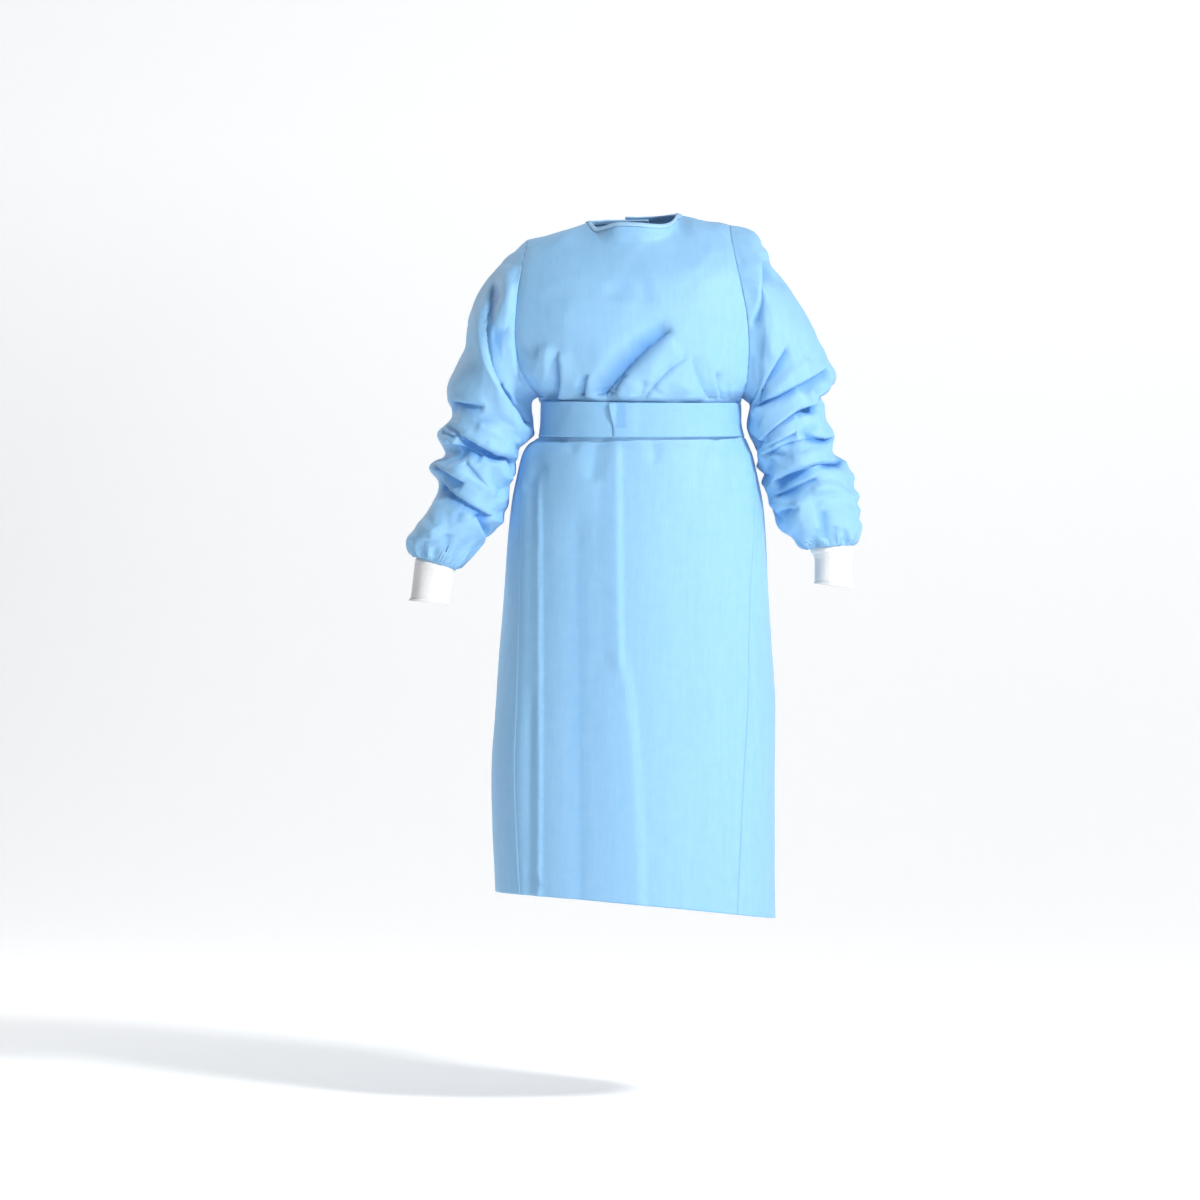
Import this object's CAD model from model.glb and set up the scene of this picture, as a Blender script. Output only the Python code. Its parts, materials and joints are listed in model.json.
"""Procedure gown as a standing wearer holds it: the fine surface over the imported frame.

Every cut piece is one sheet of thin nonwoven cloth. Its rows and columns follow the same rings, seams and
edges as the solid that it stands for, and its creases are laid on by hand from the tables below. Blender's
cloth simulation then settles the sleeves, whose pushed-up cloth is too long for its place. Sizes are in
millimetres up to the point where a mesh is made. X runs to the viewer's right, Y away from the viewer and
Z up from the middle of the neck opening.
"""

import json
import math
from collections import namedtuple
from functools import cache

import bmesh
import bpy
import numpy as np
from mathutils import Matrix, Vector, noise

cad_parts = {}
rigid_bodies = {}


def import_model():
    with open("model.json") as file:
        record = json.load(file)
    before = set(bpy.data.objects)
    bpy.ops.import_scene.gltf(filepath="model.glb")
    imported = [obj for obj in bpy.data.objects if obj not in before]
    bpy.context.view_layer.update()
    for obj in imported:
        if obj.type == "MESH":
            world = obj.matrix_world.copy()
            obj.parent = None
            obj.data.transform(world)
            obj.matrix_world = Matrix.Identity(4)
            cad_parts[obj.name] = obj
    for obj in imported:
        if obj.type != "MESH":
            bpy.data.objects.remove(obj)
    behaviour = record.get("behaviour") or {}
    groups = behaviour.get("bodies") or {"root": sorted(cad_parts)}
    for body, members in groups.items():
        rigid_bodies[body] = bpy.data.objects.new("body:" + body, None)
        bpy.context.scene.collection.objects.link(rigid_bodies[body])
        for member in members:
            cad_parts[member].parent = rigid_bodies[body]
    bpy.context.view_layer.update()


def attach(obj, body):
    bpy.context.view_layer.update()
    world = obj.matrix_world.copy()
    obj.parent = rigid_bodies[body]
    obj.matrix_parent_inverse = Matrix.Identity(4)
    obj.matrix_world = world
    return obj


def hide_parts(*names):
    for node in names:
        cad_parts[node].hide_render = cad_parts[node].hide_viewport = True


bl_info = {
    "name": "Procedure gown",
    "version": (1, 0, 0),
    "blender": (4, 5, 0),
    "location": "3D View > Sidebar > Gown",
    "description": "Builds a worn procedure gown, piece by piece, over its packed frame",
    "category": "Object",
}

for old in list(bpy.data.objects):
    bpy.data.objects.remove(old, do_unlink=True)
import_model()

MM = 0.001

# The cut of the body
UNDERARM = -268  # level of the bottom of both armholes
SQUARENESS = 2.2  # 2 is an ellipse, more is a fuller section
SLOPE_AT = 214  # half width at which a ring's slope is measured
SHOULDER_STEPS = 8  # steps along a shoulder seam, before they are made finer
NECK_STEPS = 10  # across the front neckline, half of them on each back panel
BACK_STEPS = SHOULDER_STEPS + NECK_STEPS // 2
ARMHOLE_STEPS = 14
# How finely each of those steps is divided, and the rows below them and along a sleeve
FRONT_FINE = 6
BACK_FINE = 8
SKIRT_ROWS = 216
SLEEVE_ROWS = 200
EDGE_STEPS = 12  # between two points of an edge's table, before even steps are taken along it
SHOULDER_ROLL = 100  # height over which the cloth turns over the shoulder
SHOULDER_TURN = 2.0  # 2 turns as a quarter circle does, less is flatter
NECK_ROLL = 130
NECK_TURN = 1.5
NECK_SPREAD = 45  # length of shoulder seam over which the one way of turning becomes the other
EVENED_REACH = 2.8  # steps over which the front's upper cloth is drawn smooth
EVENED_FROM = 3  # how far below the top edge that starts, and the height over which it comes in
EVENED_FADE = 36
FLAP_LIFT = 5.0  # outer back flap above the inner one
FLAP_PAST_LAP = 75  # how far past the centre's lap the outer flap comes down to the body
FLAP_FADE = 62
FLAP_FROM_Y = 12  # how far behind the middle it starts to stand off
FLAP_FADE_Y = 30
FLAP_UNDER = 45  # how far the inner flap runs in under it, and its own fade
FLAP_UNDER_FADE = 40

# The belt's band and the place where its two strips lap in front
BELT_TOP = -276
BELT_MIDDLE = -303
BELT_BOTTOM = -329
BELT_LAP_LEFT = -38
BELT_LAP_RIGHT = -17
BELT_DRAWN_IN = 0.36  # share of its width that it loses at the knot
BELT_KNOT = (34, 20, 40)
BELT_UNDER_KNOT = 2.4
BELT_TAILS_END = -560
BELT_TAIL_START = 3  # how far the tails run in under the knot
BELT_TAIL_COLUMN = 8  # of the outer back, from its edge, whose rows the tails follow
# Each tail's left edge at its top and at its end, and its right edge at both
BELT_TAILS = (("left", (-14, -42), (-2, -10)), ("right", (2, 14), (14, 46)))
BELT_ROWS = 26
BELT_STEPS = 150
BELT_SLANT = 6  # how far its lapped end slants, over its width
BELT_LAY = 2.0  # outer side of the belt above the body's cloth
BELT_GATHER = 0.9  # how far it is gathered near the knot, in waves up its width
BELT_WAVES = 23
BELT_HEM = 0.35  # how deep a seam is pressed near both of its edges
BELT_EDGE = 1.0  # how far its edges turn in
LAP_STEP = 1.3  # how far the strip in front stands off, over the end of the one under it
PLEAT_RISE = 2.8  # the narrow pleat at the start of the strip in front, wide at its top
PLEAT_DEGREES = 5.2
BONDED = (-34, -16)  # left and right edge of the bonded rectangle

# The body's cloth beside the belt
BELT_CLEAR = 5  # height over which its creases run out
BELOW_CLEAR = 8  # how far below the belt they start again
BLOUSE = 3.2  # how far the cloth bags out above the belt
BELOW_BELT = 2.2  # how far it stands out below the belt
BELT_GAPS = (-114, -48, 119)  # where it dips below the belt's lower edge
GATHER_SIZE = 34  # of the uneven gathers above the belt

# Across the binding's folded strip: how far each line lies below the neckline, and how far out of the
# cloth it lies.
BINDING_PROFILE = (
    (7.6, 0.9),
    (7.2, 1.3),
    (5, 1.3),
    (3, 1.35),
    (1.2, 1.4),
    (0, 1.3),
    (-0.7, 0.8),
    (-0.9, 0),
    (-0.7, -0.9),
    (0, -1.4),
    (2, -1.5),
    (5, -1.5),
    (7.6, -1.5),
)
BINDING_STEPS = 300
BINDING_JOIN = 12  # steps over which it passes from the inner flap to the outer one
BINDING_PASSES_Y = 40  # how far back it lies on the front's side of that join
BINDING_WAVE = 0.35  # unevenness of its outer side
NECK_KNOT = (15, 9, 15)
NECK_KNOT_X = -2
NECK_KNOT_Z = -14
NECK_TAILS_END = -128
NECK_TAIL_START = 1.5
# How much shorter each tail is, its left edge at its top and at its end, and its right edge at both
NECK_TAILS = (("left", 0, (-9, -24), (-4, -13)), ("right", 14, (0, 2), (5, 13)))
NECK_ROWS = 30  # rows of a panel that the binding can lie on

# Hanging strips: points across, how far they stand off the panel, and how they wave and sway
TAIL_POINTS = 9
TAIL_LAY = 1.9
TAIL_WAVE = 1.2
TAIL_SWAY = 1.5

# Knots: the strip's turns run slantwise over a soft block
KNOT_CUTS = 15
KNOT_ROUNDS = 10  # times that the block is smoothed
KNOT_TURNS = 5.5
KNOT_DENT = 0.08  # depth between two turns, as a share of the knot's smallest side
KNOT_CLEAR = 0.4

# How the sleeves' cloth settles: the Cloth modifier's settings, in its own units. A shrink factor below 0
# makes it too large for its place by that share.
SETTLING = {
    "quality": 6,
    "mass": 0.03,
    "air_damping": 2.0,
    "tension_stiffness": 12,
    "compression_stiffness": 12,
    "shear_stiffness": 6,
    "bending_stiffness": 1.5,
    "vertex_group_mass": "Sewn",
    "shrink_min": -0.02,
}
SETTLING_FRAMES = 14
COARSE = 2  # the sheet that settles has every second row and column
LARGE_BENDS = 30  # times that its shift is averaged, to leave the large bends out
CRUMPLE = 6.0  # most that settling moves a point

# Rings of the body. Left and right are half widths, front and back half depths. Dip is how far the
# front hangs below the sides, slope how far the right side stands above the middle. From the underarm
# up, a level is a share of the way to the top edge, whose own level is 0.
Ring = namedtuple("Ring", "level left right front back dip slope")
RINGS = (
    Ring(-1043, 217, 211, 150, 152, -9, -20),
    Ring(-950, 221, 210, 149, 151, -7, -15),
    Ring(-860, 223, 210, 148, 150, -4, -10),
    Ring(-740, 216, 211, 146, 148, -2, -6),
    Ring(-640, 209, 205, 143, 146, -1, -4),
    Ring(-560, 203, 200, 141, 144, 0, -3),
    Ring(-487, 198, 197, 138, 141, 1, -2),
    Ring(-430, 192, 192, 134, 136, 2, 0),
    Ring(-385, 183, 183, 129, 126, 3, 0),
    Ring(-356, 176, 176, 124, 113, 4, 0),
    Ring(-342, 168, 170, 119, 103, 5, 0),
    Ring(-331, 150, 163, 113, 96, 5, 0),
    Ring(-303, 146, 157, 111, 94, 5, 0),
    Ring(-277, 146, 157, 113, 95, 5, -2),
    Ring(UNDERARM, 149, 160, 119, 99, 4, -2),
    Ring(-256, 166, 169, 124, 101, 3, 0),
    Ring(-235, 190, 184, 128, 104, 2, 0),
    Ring(-195, 212, 196, 131, 110, 0, 0),
    Ring(-150, 223, 201, 131, 115, 0, 0),
    Ring(-100, 222, 194, 122, 117, 0, 0),
    Ring(-50, 211, 177, 107, 108, 0, 0),
    Ring(-20, 197, 163, 97, 101, 0, 0),
    Ring(0, 182, 153, 92, 96, 0, 0),
)

# Where the panels end, in degrees forward of the side, and how far each back panel passes the centre
# back. Up to the underarm these are the side seams, and above it the front edges of the armholes.
Seam = namedtuple("Seam", "level left right overlap")
SEAMS = (
    Seam(-1043, 37, 47, 85),
    Seam(-740, 34, 40, 80),
    Seam(-600, 31, 35, 76),
    Seam(-487, 27, 28, 72),
    Seam(-400, 18, 18, 68),
    Seam(-331, 8, 8, 62),
    Seam(UNDERARM, 3, 3, 58),
    Seam(-256, 16, 16, 56),
    Seam(-235, 26, 26, 54),
    Seam(-195, 31, 31, 50),
    Seam(-150, 33, 33, 45),
    Seam(-100, 32, 32, 38),
    Seam(-50, 28, 28, 28),
    Seam(-20, 25, 25, 22),
    Seam(0, 24, 24, 18),
)
# The back edges of the armholes, in degrees behind the side.
Behind = namedtuple("Behind", "level left right")
ARMHOLE_BACKS = (
    Behind(UNDERARM, -3, -3),
    Behind(-256, 13, 13),
    Behind(-235, 23, 23),
    Behind(-195, 29, 29),
    Behind(-150, 31, 31),
    Behind(-100, 30, 30),
    Behind(-50, 27, 27),
    Behind(-20, 25, 25),
    Behind(0, 24, 24),
)

# The top edge of the front: a shoulder seam on each side and the neckline between them.
Edge = namedtuple("Edge", "x y z")
LEFT_SHOULDER = (
    Edge(-168, 4, -27),
    Edge(-156, 5, -24),
    Edge(-141, 6, -21),
    Edge(-118, 7, -14),
    Edge(-95, 8, -7),
    Edge(-72, 9, 2),
)
NECK_FRONT = (
    Edge(-72, 9, 2),
    Edge(-68, -12, -6),
    Edge(-60, -32, -13),
    Edge(-47, -50, -11),
    Edge(-30, -64, -7),
    Edge(0, -71, -8),
    Edge(26, -66, -10),
    Edge(44, -52, -8),
    Edge(54, -33, -1),
    Edge(59, -12, 7),
    Edge(61, 9, 13),
)
RIGHT_SHOULDER = (
    Edge(61, 9, 13),
    Edge(80, 8, 8),
    Edge(104, 7, 2),
    Edge(125, 5, 0),
    Edge(141, 4, -4),
)
# Half of the back neckline on each side, from the shoulder seam past the centre back.
LEFT_NECK_BACK = (Edge(-72, 9, 2), Edge(-65, 34, 4), Edge(-45, 54, 7), Edge(-18, 63, 8), Edge(18, 61, 8))
RIGHT_NECK_BACK = (Edge(61, 9, 13), Edge(55, 34, 11), Edge(38, 54, 9), Edge(14, 64, 8), Edge(-18, 64, 8))

# Sleeve rings, from the armhole to the cuff: the outer and inner ends of each as seen from the front,
# its half depth, and how far its middle lies forward.
Loop = namedtuple("Loop", "outer_x outer_z inner_x inner_z depth forward")
LEFT_SLEEVE = (
    Loop(-168, -27, -149, -268, 66, -2),
    Loop(-205, -60, -160, -276, 72, -2),
    Loop(-242, -108, -161, -290, 74, -3),
    Loop(-258, -150, -159, -303, 72, -5),
    Loop(-265, -195, -158, -315, 69, -7),
    Loop(-285, -236, -158, -327, 67, -9),
    Loop(-292, -268, -172, -339, 65, -11),
    Loop(-284, -296, -180, -352, 63, -13),
    Loop(-305, -325, -184, -368, 63, -14),
    Loop(-293, -352, -188, -385, 60, -16),
    Loop(-318, -376, -194, -403, 61, -17),
    Loop(-304, -402, -199, -422, 58, -19),
    Loop(-319, -438, -204, -447, 59, -21),
    Loop(-336, -463, -215, -466, 57, -23),
    Loop(-350, -482, -231, -484, 50, -24),
    Loop(-348, -497, -249, -503, 40, -25),
    Loop(-335, -513, -277, -532, 30, -26),
)
RIGHT_SLEEVE = (
    Loop(141, -4, 160, -269, 66, -2),
    Loop(180, -18, 171, -279, 72, -2),
    Loop(206, -60, 170, -292, 74, -3),
    Loop(236, -106, 168, -304, 72, -5),
    Loop(263, -150, 168, -315, 69, -7),
    Loop(284, -196, 172, -327, 67, -9),
    Loop(302, -240, 179, -340, 65, -11),
    Loop(283, -268, 183, -354, 63, -13),
    Loop(289, -295, 186, -369, 62, -14),
    Loop(303, -325, 189, -385, 61, -16),
    Loop(302, -350, 193, -400, 60, -17),
    Loop(322, -368, 198, -415, 60, -19),
    Loop(330, -404, 204, -436, 58, -21),
    Loop(336, -444, 213, -460, 56, -23),
    Loop(340, -468, 228, -476, 49, -24),
    Loop(334, -483, 246, -490, 39, -25),
    Loop(324, -494, 264, -500, 31, -26),
)
LEFT_CUFF = (
    LEFT_SLEEVE[-1],
    Loop(-338, -520, -279, -539, 31.5, -27),
    Loop(-339, -528, -281, -545, 30, -28),
    Loop(-342, -552, -284, -563, 29, -29),
    Loop(-345, -572, -287, -579, 29.5, -30),
    Loop(-347, -579, -288, -584, 30.5, -30),
)
RIGHT_CUFF = (
    RIGHT_SLEEVE[-1],
    Loop(326, -503, 267, -509, 31.5, -27),
    Loop(326, -511, 270, -516, 30, -28),
    Loop(325, -533, 270, -534, 29, -29),
    Loop(327, -552, 270, -547, 29.5, -30),
    Loop(328, -560, 270, -553, 30.5, -30),
)
ARMHOLE_FADE = 6  # sleeve loops over which the armhole's own shape runs out

# Gathers at the cuff: how many go round, how far they rise, and where they start, come in and run out, in
# sleeve loops above the cuff.
Gathers = namedtuple("Gathers", "count rise start fade_in fade_out")
WIDE_GATHERS = Gathers(11, 3.0, 2.2, 1.6, 0.7)
FINE_GATHERS = Gathers(31, 5, 1.8, 1.4, 0.25)

# The cuffs' knit: a soft ridge at the sleeve's seam and a turned hem, each with a groove beside it
CUFF_RIBS = 84
CUFF_STEPS = 30
RIB_RISE = 0.35
Ridge = namedtuple("Ridge", "at reach rise")
CUFF_RIDGES = (Ridge(0.1, 0.07, 0.9), Ridge(0.84, 0.03, -0.8), Ridge(0.21, 0.035, -0.6))
CUFF_HEM = (0.86, 0.05, 0.7)  # where it starts, its step's length and its height
CUFF_LOOSE = 1.2  # how far the knit strays from its form

SEAM_CLEAR = 12  # creases run out over this distance from a seam
SEAM_PUFF = 0.15  # how far the cloth stands above its seams, and the distance over which it does
SEAM_PUFF_FADE = 5
EDGE_SAMPLES = 60  # points of an edge that distances are taken from
FAR = 1e6

# The section of a crease
CREASE_STEPS = 60
STEEPEST = 0.75  # how much narrower than its half width the steep side of a leaning crease is
GENTLE = 2.2  # width of its gentle side, in half widths
LIP = 0.34  # how far a leaning trough's lip stands up, as a share of the trough's depth
LIP_REACH = 1.6  # half widths over which the cloth at the lip slides over the trough
OVERHANG = 0.5  # how far it slides, as a share of the trough's depth
SLIDES_FROM = -4  # troughs that are shallower have no overhang
LONGEST = 5.2  # how far a crease reaches, in half widths
CREASE_ENDS = 0.35  # share over which its ends run out
LEAST_FACING = 0.05  # creases run out where the cloth turns away from the side that they are seen from
FACING_FADE = 0.45

# Small folds between the creases: how they slant, in degrees as seen on the right side, their size, their
# share and their seed.
Fold = namedtuple("Fold", "tilt size share seed")
SLEEVE_FOLDS = (Fold(-30, 46, 1, 3.1), Fold(6, 38, 0.8, 7.7), Fold(-52, 60, 0.5, 5.3))
BODY_FOLDS = (Fold(62, 120, 1, 2.3), Fold(-40, 90, 0.8, 9.1))

# What each piece is cut from: the frame's node that it stands for, its slot, its flat size in metres, how it
# is held and, where the cut isn't a plain rectangle, its area in square metres.
Cut = namedtuple("Cut", "node slot flat held area")
CUTS = {
    "front": Cut("front_panel", "nonwoven", (0.58, 1.10), "hung", 0.43),
    "back_left": Cut("back_panel_left", "nonwoven", (0.55, 1.10), "hung", 0.42),
    "back_right": Cut("back_panel_right", "nonwoven", (0.55, 1.10), "hung", 0.42),
    "sleeve_left_cloth": Cut("sleeve_left", "nonwoven", (0.50, 0.55), "gathered", 0.19),
    "sleeve_right_cloth": Cut("sleeve_right", "nonwoven", (0.50, 0.55), "gathered", 0.19),
    "cuff_left_knit": Cut("cuff_left", "rib_knit", (0.17, 0.072), "stretched", None),
    "cuff_right_knit": Cut("cuff_right", "rib_knit", (0.17, 0.072), "stretched", None),
    "binding": Cut("neck_binding", "binding", (0.46, 0.024), "stretched", None),
    "belt_left_strip": Cut("belt_left", "belt", (0.40, 0.053), "stretched", None),
    "belt_right_strip": Cut("belt_right", "belt", (0.42, 0.053), "stretched", None),
    "belt_tail_left_strip": Cut("belt_tail_left", "belt", (0.053, 0.25), "hung", 0.0066),
    "belt_tail_right_strip": Cut("belt_tail_right", "belt", (0.053, 0.25), "hung", 0.0066),
    "neck_tie_left_strip": Cut("neck_tie_left", "binding", (0.018, 0.11), "hung", 0.001),
    "neck_tie_right_strip": Cut("neck_tie_right", "binding", (0.018, 0.11), "hung", 0.001),
}

# The stage, in metres and watts
CAMERA_PLACE = (-0.057, -6.5, -0.578)
CAMERA_LENS = 127.5  # mm
CAMERA_SENSOR = 36
FLOOR = -1.35
FLOOR_FRONT = -8
FLOOR_BACK = 3  # where it turns up into the backdrop, with this radius
FLOOR_TURN = 2
FLOOR_WIDTH = 18
BACKDROP_HEIGHT = 7
FLOOR_COLOUR = (0.93, 0.935, 0.94, 1)
FLOOR_GLOW = 0.36
SKY_COLOUR = (0.80, 0.90, 1.0, 1)
SKY_STRENGTH = 0.10
Lamp = namedtuple("Lamp", "name place aim size power")
LAMPS = (
    Lamp("Key", (3.2, -3.2, 3.0), (0, 0, -0.5), 0.9, 275),
    Lamp("Front", (-1.2, -5.2, 0.4), (0, 0, -0.55), 1.6, 22),
    Lamp("Rim", (-2.6, 1.6, 1.2), (0, 0, -0.5), 1.2, 30),
    Lamp("Low", (1.5, -2.7, -1.15), (0.05, 0, -1.05), 1.2, 26),
)

# Depths at which the cloth's colour is deepest, and how much it is tinted there
SLEEVE_DEPTH = 8
BODY_DEPTH = 15
CUFF_DEPTH = 8
BONDED_DEPTH = 6.5
FOLD_TINT = 0.8
# Fibres of the cloth and yarn of the knit, in waves per metre or radians per metre of the cut
FIBRES = (520.0, 26.0, 1.0)
FIBRE_BUNDLES = (130.0, 9.0, 1.0)
YARN_ACROSS = 1750.0
YARN_UP = 4800.0

# Creases, each a bent line as seen from the front or the back: its ends, the sideways bow of its middle
# (to the right of its run, as seen), its half width and its rise above the cloth or depth below it. Sharp
# is the power of its gentle side, from 1 for a pressed edge to 2 for a soft one. Lean makes the other side
# steep and gives it a lip: above 0 that is the left of its run, and below 0 the right. At 0 both are alike.
Crease = namedtuple("Crease", "side x0 z0 x1 z1 bow width rise sharp lean")


def creases(side, *rows):
    """The creases that are seen from one side, each row in the order of the columns after the side."""
    return tuple(Crease(side, *row) for row in rows)


FRONT_CREASES = creases(
    "front",
    (-57, -112, 150, -121, 4, 16, -3, 1.8, 0),
    (54, -172, -56, -288, 8, 17, -13, 1.15, 0.3),
    (66, -203, -4, -290, 6, 12, 6, 1.1, 0),
    (-20, -192, 20, -199, 0, 5, -1.6, 1.2, 0),
    (-121, -206, -121, -290, -4, 8, -9, 1.2, 0.7),
    (-136, -190, -150, -272, -4, 9, 5, 1.1, 0),
    (-146, -195, -160, -238, -4, 12, 4, 1.6, 0),
    (76, -214, 4, -290, 8, 9, -8, 1.2, 0.5),
    (30, -264, 80, -264, -12, 9, 4, 1.4, 0),
    (78, -212, 114, -290, 3, 11, -7, 1.2, -0.5),
    (-76, -240, -84, -292, 0, 7, -8, 1.2, 0.5),
    (-12, -246, -34, -292, 4, 6, -8, 1.2, 0.4),
    (14, -250, -2, -292, 0, 6, -6, 1.2, 0.4),
    (118, -236, 128, -292, 0, 7, -7, 1.2, -0.4),
    (136, -196, 137, -276, 0, 5, -2, 1.2, 0.4),
    (-147, -372, -147, -1085, 0, 7, 3.4, 1.1, 0.3),
    (-160, -700, -166, -1085, 0, 8, -2.4, 1.3, 0),
    (-30, -328, -26, -700, 2, 11, 3.4, 1.1, 0.4),
    (-26, -640, 2, -1085, -6, 22, 3.2, 1.3, 0.4),
    (-92, -420, -86, -1085, 0, 40, -5, 1.9, 0),
    (70, -420, 84, -1085, 0, 60, -3, 1.9, 0),
    (-60, -326, -70, -400, 0, 12, -4, 1.4, 0),
    (112, -326, 96, -410, 0, 14, -4, 1.4, 0),
    (-140, -372, -172, -410, 0, 9, -3, 1.3, 0),
    (-163, -975, -146, -1012, 0, 7, -2.4, 1.2, 0.4),
    (20, -326, 26, -372, 0, 9, -2.6, 1.4, 0),
    (-104, -326, -98, -356, 0, 8, -2.6, 1.4, 0),
    (140, -330, 148, -420, 4, 10, -3, 1.4, 0),
)
BACK_CREASES = creases(
    "back",
    (-120, -330, -132, -1085, 0, 34, -9, 1.9, 0),
    (-165, -380, -178, -1085, 0, 30, 5, 1.9, 0),
    (118, -330, 128, -1085, 0, 34, -9, 1.9, 0),
    (165, -380, 176, -1085, 0, 30, 5, 1.9, 0),
    (-95, -150, -60, -284, 6, 16, -6, 1.5, 0.3),
    (95, -150, 62, -284, -6, 16, -6, 1.5, -0.3),
    (-120, -200, -110, -280, 0, 12, 5, 1.5, 0),
    (120, -200, 112, -280, 0, 12, 5, 1.5, 0),
    (-84, -245, -80, -284, 0, 6, -4, 1.3, 0),
    (84, -240, 80, -284, 0, 6, -4, 1.3, 0),
    (-40, -252, -36, -284, 0, 6, -3, 1.3, 0),
    (34, -252, 40, -284, 0, 6, -3, 1.3, 0),
    (-60, -326, -66, -420, 0, 10, -3, 1.4, 0),
    (60, -326, 70, -440, 0, 10, -3, 1.4, 0),
    (20, -400, 24, -1085, 0, 8, 2.4, 1.1, 0.3),
    (-96, -60, 84, -76, 10, 20, -3, 1.8, 0),
)
LEFT_SLEEVE_CREASES = creases(
    "front",
    (-215, -84, -163, -307, 40, 14, -10, 1.2, -0.5),
    (-247, -120, -160, -324, 22, 12, 6, 1.2, 0),
    (-197, -66, -201, -172, 0, 11, 5, 1.2, 0),
    (-190, -160, -176, -262, 4, 9, 4, 1.2, 0),
    (-286, -276, -232, -284, 0, 9, -6, 1.3, 0.4),
    (-294, -302, -186, -366, 4, 9, -10, 1.3, 0.5),
    (-300, -316, -212, -345, 0, 7, 5, 1.3, 0),
    (-292, -336, -232, -360, 0, 8, -7, 1.3, 0.4),
    (-279, -320, -200, -364, 0, 6, -7, 1.2, 0.5),
    (-298, -316, -276, -328, 0, 7, -9, 1.2, 0.5),
    (-192, -278, -162, -308, 0, 6, -8, 1.2, 0.4),
    (-196, -362, -190, -412, 0, 7, -9, 1.2, -0.4),
    (-244, -312, -178, -340, 4, 6, 4, 1.1, 0),
    (-228, -336, -184, -352, 2, 5, 3, 1.1, 0),
    (-262, -366, -220, -414, 0, 8, -6, 1.2, 0.4),
    (-314, -364, -262, -401, 4, 9, -7, 1.3, 0.5),
    (-303, -399, -216, -452, 2, 9, -10, 1.3, 0.5),
    (-286, -372, -214, -420, 0, 9, 6, 1.4, 0),
    (-244, -450, -224, -494, 0, 10, -9, 1.2, -0.4),
    (-304, -426, -312, -490, 0, 10, 5, 1.4, 0),
    (-330, -432, -306, -470, 0, 8, -4, 1.3, 0),
    (-270, -444, -272, -462, 0, 6, -3, 1.3, 0),
    (-286, -478, -290, -508, 0, 6, -4, 1.3, 0),
    (-312, -492, -312, -512, 0, 5, -3, 1.3, 0),
    (-204, -250, -156, -314, 0, 9, -9, 1.3, 0.6),
) + creases(
    "back",
    (-222, -90, -172, -300, 30, 14, -10, 1.3, -0.6),
    (-250, -140, -176, -330, 16, 10, 6, 1.2, 0),
    (-290, -262, -196, -320, 0, 10, -9, 1.3, 0.4),
    (-300, -290, -210, -336, 0, 8, 5, 1.4, 0),
    (-300, -318, -206, -352, -6, 9, -8, 1.3, -0.4),
    (-308, -366, -210, -398, 0, 9, -9, 1.3, 0.4),
    (-306, -408, -222, -446, 6, 9, -8, 1.3, 0.4),
    (-290, -420, -300, -490, 0, 10, 5, 1.4, 0),
)
RIGHT_SLEEVE_CREASES = creases(
    "front",
    (185, -52, 168, -164, -12, 8, -7, 1.2, -0.4),
    (205, -92, 200, -216, 0, 11, 5, 1.5, 0),
    (224, -100, 236, -200, 6, 12, 4, 1.6, 0),
    (168, -284, 226, -192, 0, 9, -9, 1.2, 0.6),
    (254, -292, 280, -266, 0, 6, -7, 1.2, 0.5),
    (252, -323, 304, -330, 0, 6, -6, 1.2, 0.4),
    (240, -321, 196, -342, 0, 6, -9, 1.2, -0.5),
    (156, -314, 194, -338, 0, 8, -9, 1.2, 0.5),
    (170, -344, 190, -390, 0, 7, -9, 1.2, 0.4),
    (176, -398, 196, -430, 0, 6, -7, 1.2, 0.4),
    (246, -436, 210, -443, 0, 5, -5, 1.2, -0.5),
    (168, -294, 250, -262, 4, 6, 5, 1.1, 0),
    (184, -312, 244, -296, 3, 7, 4, 1.1, 0),
    (172, -284, 296, -218, 6, 10, -9, 1.3, 0.4),
    (190, -262, 262, -212, 4, 8, 5, 1.4, 0),
    (278, -274, 186, -336, 6, 9, -10, 1.3, -0.5),
    (296, -262, 268, -262, 0, 6, -4, 1.3, 0),
    (268, -298, 194, -330, 4, 8, 5, 1.4, 0),
    (300, -330, 188, -358, 8, 9, -8, 1.3, -0.4),
    (286, -310, 240, -328, 0, 6, -4, 1.3, 0),
    (316, -362, 200, -400, 6, 9, -10, 1.3, -0.5),
    (310, -344, 230, -362, 0, 8, 5, 1.4, 0),
    (272, -392, 204, -420, 0, 8, -7, 1.3, -0.4),
    (322, -398, 262, -412, 0, 8, 4, 1.4, 0),
    (242, -424, 258, -500, 0, 11, 7, 1.0, 0),
    (316, -420, 322, -490, 0, 9, 4, 1.4, 0),
    (280, -440, 284, -490, 0, 8, -4, 1.4, 0),
    (268, -470, 270, -500, 0, 5, -3, 1.3, 0),
    (298, -466, 302, -500, 0, 5, -3, 1.3, 0),
    (312, -470, 314, -500, 0, 5, -2.5, 1.3, 0),
) + creases(
    "back",
    (196, -60, 182, -250, -24, 14, -9, 1.5, 0.4),
    (240, -130, 196, -290, -14, 10, 6, 1.4, 0),
    (292, -250, 200, -312, 0, 10, -9, 1.3, -0.4),
    (300, -284, 210, -330, 0, 8, 5, 1.4, 0),
    (298, -314, 206, -346, 6, 9, -8, 1.3, 0.4),
    (318, -360, 212, -392, 0, 9, -9, 1.3, -0.4),
    (322, -412, 226, -440, -4, 9, -8, 1.3, -0.4),
    (296, -430, 302, -494, 0, 10, 5, 1.4, 0),
)


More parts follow.
